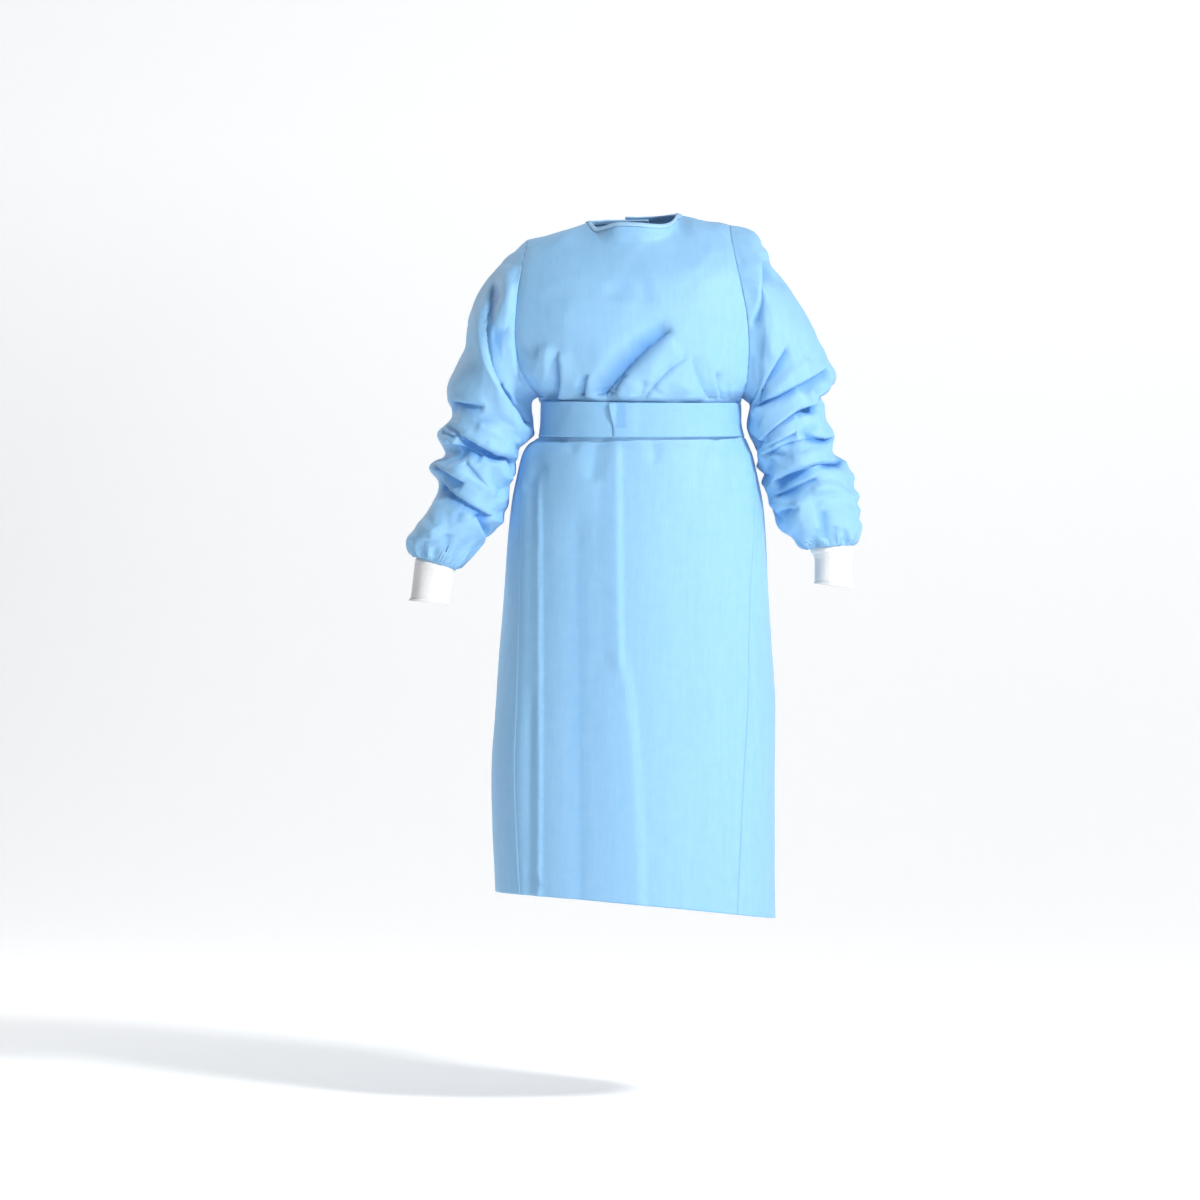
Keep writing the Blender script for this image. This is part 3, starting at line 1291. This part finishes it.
def lap_relief(up, past_start, past_lap):
    """What the strip in front adds to that: its step over the other's end, and its narrow pleat, which
    stands up at the top and runs out lower down, where the strip's end lies flat."""
    step = LAP_STEP * ease((7 - past_lap) / 5)
    reach = 0.3 + PLEAT_DEGREES * ease((up - 0.3) / 0.7)
    pleat = PLEAT_RISE * max(0.0, 1 - past_start / reach) * ease((up - 0.2) / 0.5)
    return step + pleat - 1.2 * bell(past_start, 0, 0.5) * (1 - up)


def belt_points(first, last, knot_first, lap=None):
    """A strip round the waist between two turns, narrower at the knot. The strip with a lap starts on a
    slant on the other one's end and comes down past it."""
    rows = []
    for up in np.linspace(0, 1, BELT_ROWS + 1):
        level = BELT_BOTTOM + (BELT_TOP - BELT_BOTTOM) * up
        row = []
        start = first
        if lap is not None:
            start = turn_at(BELT_LAP_LEFT - BELT_SLANT * ease((up - 0.25) / 0.75), level)
        for share in np.linspace(0, 1, BELT_STEPS + 1):
            near_knot = ease(((share if knot_first else 1 - share) - 0.02) / 0.2)
            drawn = BELT_DRAWN_IN * (1 - near_knot)
            turn = start + (last - start) * share
            out = belt_relief(up, share, turn, near_knot)
            if lap is not None:
                out += lap_relief(up, turn - start, turn - lap)
            row.append(on_body(turn, level + (BELT_MIDDLE - level) * drawn, out))
        rows.append(row)
    return np.array(rows)


def on_panel(points, normals, row, x, out):
    """A point of a panel's grid at a row, which may be a fraction, and at an X, moved out."""
    low = min(int(row), len(points) - 2)
    part = row - low
    found = []
    for i in (low, low + 1):
        order = np.argsort(points[i][:, 0])
        both = np.column_stack((points[i], normals[i]))[order]
        found.append(np.array([np.interp(x, both[:, 0], column) for column in both.T]))
    mixed = found[0] + (found[1] - found[0]) * part
    return mixed[:3] + mixed[3:] * out


def row_at(points, column, z):
    """The row of a panel's grid, as a fraction, at which its column reaches this Z."""
    return float(np.interp(z, points[:, column, 2], np.arange(len(points))))


def tail_points(panel, column, top, bottom, lefts, rights):
    """A strip that hangs on a panel. Its rows are the panel's own, so that both bend alike."""
    normals = normals_of(panel, False)
    first, last = row_at(panel, column, bottom), row_at(panel, column, top)
    inside = [row for row in range(len(panel)) if first + 0.2 < row < last - 0.2]
    rows = []
    for row in [first] + inside + [last]:
        share = (last - row) / (last - first)
        left = lefts[0] + (lefts[1] - lefts[0]) * share
        right = rights[0] + (rights[1] - rights[0]) * share
        xs = np.linspace(right, left, TAIL_POINTS) + TAIL_SWAY * math.sin(share * 9) * share
        waves = np.sin(np.linspace(0, 3, TAIL_POINTS) + 6 * share) ** 2
        outs = TAIL_LAY + TAIL_WAVE * waves * ease(share / 0.2)
        rows.append([on_panel(panel, normals, row, x, out) for x, out in zip(xs, outs)])
    return np.array(rows)


def binding_points(neckline, panels):
    """The neck binding: a strip folded over the neckline, from its outer lower edge up and over to the
    inner one."""
    places = np.concatenate([panel[-NECK_ROWS:].reshape(-1, 3) for panel in panels])
    normals = np.concatenate([normals_of(panel, False)[-NECK_ROWS:].reshape(-1, 3) for panel in panels])
    runs = np.gradient(neckline, axis=0)
    middle = neckline.mean(axis=0)

    def nearest(at):
        gaps = ((places - at) ** 2).sum(axis=1)
        close = np.argsort(gaps)[:8]
        share = 1 / (gaps[close] + 0.3)
        share /= share.sum()
        normal = (normals[close] * share[:, None]).sum(axis=0)
        normal /= np.linalg.norm(normal)
        place = (places[close] * share[:, None]).sum(axis=0)
        return at - normal * np.dot(at - place, normal), normal

    rows = [[] for _ in BINDING_PROFILE]
    for index, (point, run) in enumerate(zip(neckline, runs)):
        normal = nearest(point)[1]
        aside = np.cross(run, normal)
        aside *= np.sign(np.dot(aside, point - middle)) / np.linalg.norm(aside)
        wave = noise.noise((index * 0.11, 0.0, 5.0))
        for row, (down, out) in zip(rows, BINDING_PROFILE):
            at = point + aside * (down * (1 + 0.06 * wave))
            if down > 0:
                at, normal = nearest(at)
            lift = out + BINDING_WAVE * wave * (out > 0)
            row.append(at + normal * lift - aside * 0.5 * wave * (down < 2))
    return np.array(rows)


# ---------------------------------------------------------------------------------------------
# The cut pieces, made once and used by every piece that touches them


@cache
def body_grids():
    levels = row_levels()
    return front_points(levels), back_points(-1, levels), back_points(1, levels)


@cache
def body_cloths():
    front, back_left, back_right = body_grids()
    return (
        Cloth(front, FRONT_CREASES, sewn=((0, -1), (1, 0), (1, -1))),
        Cloth(back_left, BACK_CREASES, sewn=((0, -1), (1, -1))),
        Cloth(back_right, BACK_CREASES, sewn=((0, -1), (1, 0))),
    )


def sleeve_grids():
    front, back_left, back_right = body_grids()
    rows = ARMHOLE_STEPS * FRONT_FINE + 1
    left = armhole_of(front, 0, back_left, -1, rows)
    right = armhole_of(front, -1, back_right, 0, rows)
    return sleeve_points(LEFT_SLEEVE, left), sleeve_points(RIGHT_SLEEVE, right)


def cuff_cloth(loops):
    """A knitted tube: ribs all along it, a soft ridge where the sleeve is sewn in and a turned hem."""
    turns = 2 * np.pi * np.arange(CUFF_RIBS * 4) / (CUFF_RIBS * 4)
    at = (len(loops) - 1) * np.linspace(0, 1, CUFF_STEPS + 1)
    points = loop_points(loops, at, turns)
    share = at / at[-1]
    rib = np.sin(CUFF_RIBS * turns)
    start, step, height = CUFF_HEM
    band = height * ease((share - start) / step)
    band = band + sum(ridge.rise * bell(share, ridge.at, ridge.reach) for ridge in CUFF_RIDGES)
    round_it = [(math.cos(turn) * 1.5, math.sin(turn) * 1.5) for turn in turns]
    loose = np.array([[noise.noise((x, y, down * 2)) for x, y in round_it] for down in share])
    rise = RIB_RISE * rib[None] + band[:, None] + CUFF_LOOSE * loose * ease(share / 0.2)[:, None]
    cloth = Cloth(points + rise[..., None] * normals_of(points, True), tube=True)
    cloth.rise = np.repeat(-CUFF_DEPTH * (0.5 - rib[None] / 2), len(points), axis=0)
    return cloth


def bonded(points):
    """The rectangle where the belt's strips are bonded: 1 on it, 0 elsewhere."""
    x, y, z = points[..., 0], points[..., 1], points[..., 2]
    left, right = BONDED
    across = ease((x - left) / 2) * ease((right - x) / 2)
    return across * ease((z - BELT_BOTTOM - 8) / 2) * (y < 0)


# ---------------------------------------------------------------------------------------------
# The add-on


def thickness(name, description, default):
    return bpy.props.FloatProperty(
        name=name, description=description, default=default * MM, min=0, unit="LENGTH"
    )


def colour(name, description, *default):
    return bpy.props.FloatVectorProperty(
        name=name, description=description, default=(*default, 1), subtype="COLOR", size=4, min=0, max=1
    )


class GownSettings(bpy.types.PropertyGroup):
    """Sizes and colours of the gown that can be changed before it is built."""

    wall: thickness("Cloth", "Thickness of the cloth", 0.7)
    bound_wall: thickness("Binding cloth", "Thickness of the neck binding's cloth", 0.5)
    belt_wall: thickness("Belt", "Thickness of the folded belt", 1.2)
    knit_wall: thickness("Knit", "Thickness of the cuffs' knit", 1.2)
    light: colour("Raised cloth", "Colour of the cloth in the light", 0.335, 0.60, 0.875)
    deep: colour("Deep cloth", "Colour of the cloth in its folds", 0.19, 0.47, 0.78)
    bound: colour("Binding", "Colour of the neck binding", 0.40, 0.65, 0.91)
    knit: colour("Cuffs", "Colour of the knitted cuffs", 0.94, 0.94, 0.93)
    knit_deep: colour("Between ribs", "Colour of the knit between its ribs", 0.74, 0.75, 0.76)


def finish_of(slot):
    """The gown's finish for a slot, made at its first use."""
    gown = bpy.context.scene.gown
    name, make, *values = {
        "nonwoven": ("Sky-blue nonwoven", nonwoven, gown.light, gown.deep),
        "belt": ("Folded belt cloth", nonwoven, gown.light, gown.deep, 0.7),
        "binding": ("Pale binding", nonwoven, gown.bound, gown.light, 0.5),
        "rib_knit": ("Off-white rib knit", rib_knit, gown.knit, gown.knit_deep),
    }[slot]
    return bpy.data.materials.get(name) or make(name, *values)


class BuildFront(bpy.types.Operator):
    """Builds the front, cut in one piece from the shoulders to the hem"""

    bl_idname = "gown.build_front"
    bl_label = "Front"

    def execute(self, context):
        cloth_piece("front", body_cloths()[0])
        return {"FINISHED"}


class BuildBacks(bpy.types.Operator):
    """Builds the two backs, which lap at the centre back"""

    bl_idname = "gown.build_backs"
    bl_label = "Backs"

    def execute(self, context):
        cloth_piece("back_left", body_cloths()[1])
        cloth_piece("back_right", body_cloths()[2])
        return {"FINISHED"}


class BuildSleeves(bpy.types.Operator):
    """Builds the sleeves, set into the armholes and gathered into the cuffs"""

    bl_idname = "gown.build_sleeves"
    bl_label = "Sleeves"

    def execute(self, context):
        sides = ("left", "right"), sleeve_grids(), (LEFT_SLEEVE_CREASES, RIGHT_SLEEVE_CREASES)
        for side, points, laid in zip(*sides):
            cloth = Cloth(points, laid, tube=True, sewn=((0, 0), (0, -1)), settles=True)
            cloth_piece(f"sleeve_{side}_cloth", cloth)
        return {"FINISHED"}


class BuildCuffs(bpy.types.Operator):
    """Builds the knitted cuffs"""

    bl_idname = "gown.build_cuffs"
    bl_label = "Cuffs"

    def execute(self, context):
        for side, loops in (("left", LEFT_CUFF), ("right", RIGHT_CUFF)):
            cloth_piece(f"cuff_{side}_knit", cuff_cloth(loops), context.scene.gown.knit_wall)
        return {"FINISHED"}


class BuildBinding(bpy.types.Operator):
    """Builds the strip that binds the neckline, folded over its edge"""

    bl_idname = "gown.build_binding"
    bl_label = "Neck binding"

    def execute(self, context):
        front, left, right = body_grids()
        edge = np.vstack(
            (
                left[-1, : NECK_STEPS // 2 * BACK_FINE],
                front[-1, SHOULDER_STEPS * FRONT_FINE : (SHOULDER_STEPS + NECK_STEPS) * FRONT_FINE],
                right[-1, SHOULDER_STEPS * BACK_FINE :],
            )
        )
        neckline = evenly(edge, BINDING_STEPS)
        # It is laid on the inner flap and the front first, and then on the front and the outer flap.
        end = len(neckline) - np.argmax(neckline[::-1, 1] < BINDING_PASSES_Y)
        join = BINDING_JOIN
        inner = binding_points(neckline[:end], (left, front))
        outer = binding_points(neckline[end - join :], (front, right))
        share = ease((np.arange(join) + 0.5) / join)[None, :, None]
        joined = inner[:, -join:] * (1 - share) + outer[:, :join] * share
        points = np.concatenate((inner[:, :-join], joined, outer[:, join:]), axis=1)
        cloth_piece("binding", Cloth(points), context.scene.gown.bound_wall)
        return {"FINISHED"}


class BuildBelt(bpy.types.Operator):
    """Builds the belt: two strips bonded in front, tied behind with two tails"""

    bl_idname = "gown.build_belt"
    bl_label = "Belt"

    def execute(self, context):
        wall = context.scene.gown.belt_wall
        lap_start, lap_end = (turn_at(x, BELT_MIDDLE) for x in (BELT_LAP_LEFT, BELT_LAP_RIGHT))
        width, _, height = BELT_KNOT
        reach = width / 2 - BELT_UNDER_KNOT
        knot_left, knot_right = (turn_at(x, BELT_MIDDLE, behind=True) for x in (-reach, reach))
        left = Cloth(belt_points(knot_left - 360, lap_end, True))
        right = Cloth(belt_points(lap_start, knot_right, False, lap_end))
        right.rise = -BONDED_DEPTH * bonded(right.points)
        cloth_piece("belt_left_strip", left, wall)
        cloth_piece("belt_right_strip", right, wall)
        back = body_cloths()[2].points
        column = back.shape[1] - BELT_TAIL_COLUMN
        surface = outermost(270, BELT_MIDDLE)
        knot("belt_knot_cloth", surface, 0.0, BELT_KNOT, "belt", "belt_knot")
        top = surface[2] - height / 2 + BELT_TAIL_START
        for side, lefts, rights in BELT_TAILS:
            tail = tail_points(back, column, top, BELT_TAILS_END, lefts, rights)
            cloth_piece(f"belt_tail_{side}_strip", Cloth(tail), wall)
        return {"FINISHED"}


class BuildTies(bpy.types.Operator):
    """Builds the tie that closes the neck behind"""

    bl_idname = "gown.build_ties"
    bl_label = "Neck ties"

    def execute(self, context):
        back = body_cloths()[2].points
        normals = normals_of(back, False)
        column = BACK_STEPS * BACK_FINE - 1
        row = row_at(back, column, NECK_KNOT_Z)
        surface = on_panel(back, normals, row, NECK_KNOT_X, 0)
        normal = on_panel(back, normals, row, NECK_KNOT_X, 1) - surface
        tilt = math.atan2(normal[2], normal[1])
        knot("neck_knot_cloth", surface, tilt, NECK_KNOT, "binding", "neck_tie_knot")
        top = surface[2] - NECK_KNOT[2] / 2 + NECK_TAIL_START
        for side, longer, lefts, rights in NECK_TAILS:
            tail = tail_points(back, column, top, NECK_TAILS_END + longer, lefts, rights)
            cloth_piece(f"neck_tie_{side}_strip", Cloth(tail))
        return {"FINISHED"}


def knot(name, surface, tilt, size, slot, node):
    """A tied knot: a soft block with the turns of its strip running slantwise over it."""
    bm = bmesh.new()
    bmesh.ops.create_cube(bm, size=1.0)
    bmesh.ops.subdivide_edges(bm, edges=bm.edges[:], cuts=KNOT_CUTS, use_grid_fill=True)
    bmesh.ops.scale(bm, vec=[side * MM for side in size], verts=bm.verts)
    axes = {"use_axis_x": True, "use_axis_y": True, "use_axis_z": True}
    for _ in range(KNOT_ROUNDS):
        bmesh.ops.smooth_vert(bm, verts=bm.verts, factor=0.5, **axes)
    spans = [max(abs(v.co[axis]) for v in bm.verts) for axis in range(3)]
    bmesh.ops.scale(bm, vec=[side * MM / 2 / span for side, span in zip(size, spans)], verts=bm.verts)
    deep = bm.verts.layers.float.new("Depth")
    bm.normal_update()
    for vert in bm.verts:
        slant = vert.co.x / (size[0] * MM) * 1.1 + vert.co.z / (size[2] * MM)
        dent = bell(abs(math.sin(slant * KNOT_TURNS + 0.6)), 0, 0.28)
        vert[deep] = dent
        vert.co -= vert.normal * dent * min(size) * KNOT_DENT * MM
    bmesh.ops.rotate(bm, matrix=Matrix.Rotation(tilt, 3, "X"), verts=bm.verts)
    out = Vector((0, math.cos(tilt), math.sin(tilt)))
    place = (Vector(surface) + out * (size[1] / 2 + KNOT_CLEAR)) * MM
    bmesh.ops.translate(bm, vec=place, verts=bm.verts)
    cut = bm.loops.layers.uv.new("Cut")
    for face in bm.faces:
        for loop in face.loops:
            loop[cut].uv = (loop.vert.co.x + loop.vert.co.y, loop.vert.co.z)
    finished(bpy.data.objects.new(name, mesh_of(name, bm)), node, slot)


def floor_mesh():
    """The floor's edge is swept back and up into the backdrop, then across."""
    bm = bmesh.new()
    left = -FLOOR_WIDTH / 2
    start = bm.verts.new((left, FLOOR_FRONT, FLOOR))
    turn = bmesh.ops.extrude_vert_indiv(bm, verts=[start])["verts"][0]
    turn.co = (left, FLOOR_BACK, FLOOR)
    bmesh.ops.spin(
        bm, geom=[turn], cent=(left, FLOOR_BACK, FLOOR + FLOOR_TURN), axis=(1, 0, 0), dvec=(0, 0, 0),
        angle=math.pi / 2, steps=16, use_merge=False,
    )
    bm.verts.ensure_lookup_table()
    last = bm.verts[-1]
    top = bmesh.ops.extrude_vert_indiv(bm, verts=[last])["verts"][0]
    top.co = last.co + Vector((0, 0, BACKDROP_HEIGHT))
    swept = bmesh.ops.extrude_edge_only(bm, edges=bm.edges[:])["geom"]
    verts = [part for part in swept if isinstance(part, bmesh.types.BMVert)]
    bmesh.ops.translate(bm, vec=(FLOOR_WIDTH, 0, 0), verts=verts)
    return mesh_of("Floor", bm)


class BuildStage(bpy.types.Operator):
    """Sets up the camera, the soft lights and the pale floor"""

    bl_idname = "gown.build_stage"
    bl_label = "Stage"

    def execute(self, context):
        scene = context.scene
        lens = bpy.data.cameras.new("Camera")
        lens.lens, lens.sensor_width, lens.clip_end = CAMERA_LENS, CAMERA_SENSOR, 100
        camera = bpy.data.objects.new("Camera", lens)
        camera.location = CAMERA_PLACE
        camera.rotation_euler = (math.pi / 2, 0, 0)
        scene.collection.objects.link(camera)
        scene.camera = camera

        floor = bpy.data.objects.new("Floor", floor_mesh())
        scene.collection.objects.link(floor)
        floor.data.materials.append(plain("Pale floor", FLOOR_COLOUR, 0.9, FLOOR_GLOW))

        scene.world = bpy.data.worlds.new("Studio")
        scene.world.use_nodes = True
        sky = scene.world.node_tree.nodes["Background"]
        sky.inputs["Color"].default_value = SKY_COLOUR
        sky.inputs["Strength"].default_value = SKY_STRENGTH
        for name, place, aim, size, power in LAMPS:
            light = bpy.data.lights.new(name, "AREA")
            light.shape, light.size, light.energy = "DISK", size, power
            lamp = bpy.data.objects.new(name, light)
            lamp.location = place
            lamp.rotation_euler = (Vector(aim) - Vector(place)).to_track_quat("-Z", "Y").to_euler()
            scene.collection.objects.link(lamp)
        scene.view_settings.view_transform = "Standard"
        return {"FINISHED"}


PIECES = (BuildFront, BuildBacks, BuildSleeves, BuildCuffs, BuildBinding, BuildBelt, BuildTies, BuildStage)


class GownPanel(bpy.types.Panel):
    """Lists the gown's sizes, colours and pieces"""

    bl_idname = "VIEW3D_PT_gown"
    bl_label = "Procedure gown"
    bl_space_type = "VIEW_3D"
    bl_region_type = "UI"
    bl_category = "Gown"

    def draw(self, context):
        gown = context.scene.gown
        for name in GownSettings.__annotations__:
            self.layout.prop(gown, name)
        for piece in PIECES:
            self.layout.operator(piece.bl_idname)


def register():
    bpy.utils.register_class(GownSettings)
    bpy.types.Scene.gown = bpy.props.PointerProperty(type=GownSettings)
    for made in (*PIECES, GownPanel):
        bpy.utils.register_class(made)


def unregister():
    for made in reversed((*PIECES, GownPanel)):
        bpy.utils.unregister_class(made)
    del bpy.types.Scene.gown
    bpy.utils.unregister_class(GownSettings)


def main():
    register()
    bpy.ops.gown.build_front()
    bpy.ops.gown.build_backs()
    bpy.ops.gown.build_sleeves()
    bpy.ops.gown.build_cuffs()
    bpy.ops.gown.build_binding()
    bpy.ops.gown.build_belt()
    bpy.ops.gown.build_ties()
    bpy.ops.gown.build_stage()
    bpy.context.view_layer.update()


if __name__ == "__main__":
    main()
